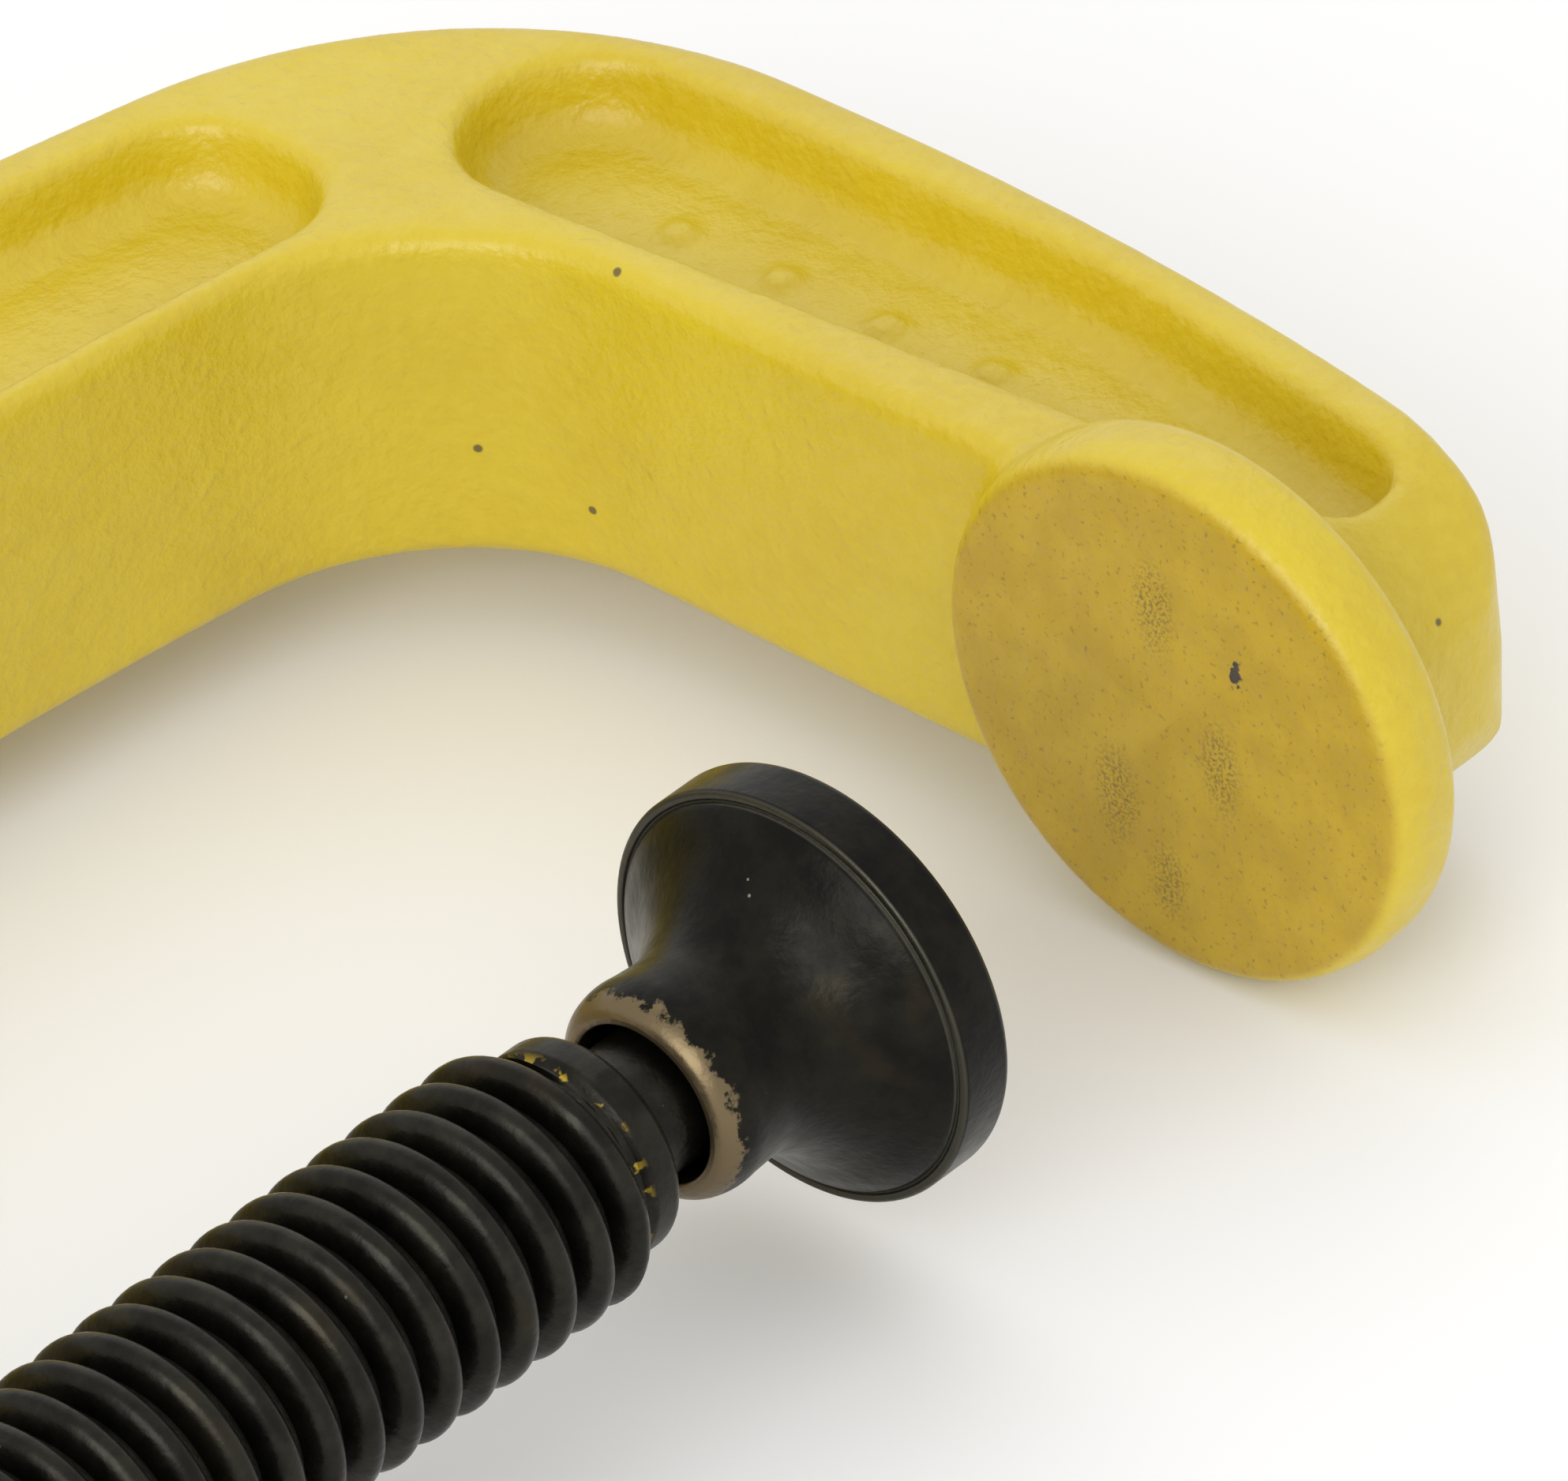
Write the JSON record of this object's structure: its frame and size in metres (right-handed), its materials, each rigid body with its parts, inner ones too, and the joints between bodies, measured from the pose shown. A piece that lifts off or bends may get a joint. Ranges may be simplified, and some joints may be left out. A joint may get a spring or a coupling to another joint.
{
  "type": "c clamp",
  "caption": "C clamp with a cast I-section frame, a round anvil, a trapezoidal screw, a swivel pad and a sliding tommy bar.",
  "frame": {"origin": "middle of the anvil's working face, on the spindle's axis", "axes": "+X along the spindle, from the handle towards the anvil; +Y from the spindle towards the spine; +Z out of the frame's flat side, up when the clamp lies on its side"},
  "size_m": [0.2265, 0.1505, 0.034],
  "materials": {
    "frame_paint": "semi-gloss paint on a sand casting",
    "spindle_steel": "oiled black oxide",
    "ring_steel": "spring steel wire",
    "pad_steel": "satin black oxide",
    "bar_steel": "satin black oxide",
    "cap_steel": "satin black oxide"
  },
  "bodies": {
    "frame": {"frame": "frame_paint"},
    "ring": {"retaining_ring": "ring_steel"},
    "spindle": {"spindle": "spindle_steel"},
    "pad": {"swivel_pad": "pad_steel"},
    "bar": {"tommy_bar": "bar_steel", "bar_cap_left": "cap_steel", "bar_cap_right": "cap_steel"}
  },
  "joints": [
    {"name": "spindle_feed", "type": "slide", "parent": "frame", "child": "ring", "axis": [1, 0, 0], "range_m": [-0.072, 0.0267]},
    {"name": "spindle_turn", "type": "hinge", "parent": "ring", "child": "spindle", "pos_m": [-0.038, 0, 0], "axis": [1, 0, 0], "range_deg": [-8640, 3204]},
    {"name": "pad_tilt", "type": "hinge", "parent": "ring", "child": "pad", "pos_m": [-0.038, 0, 0], "axis": [0, 0, 1], "range_deg": [-5, 5]},
    {"name": "bar_slide", "type": "slide", "parent": "spindle", "child": "bar", "axis": [0, 1, 0], "range_m": [-0.044, 0.044]}
  ],
  "couplings": [
    {"joint": "spindle_feed", "follows": "spindle_turn", "m_per_rad": 0.00047746}
  ]
}
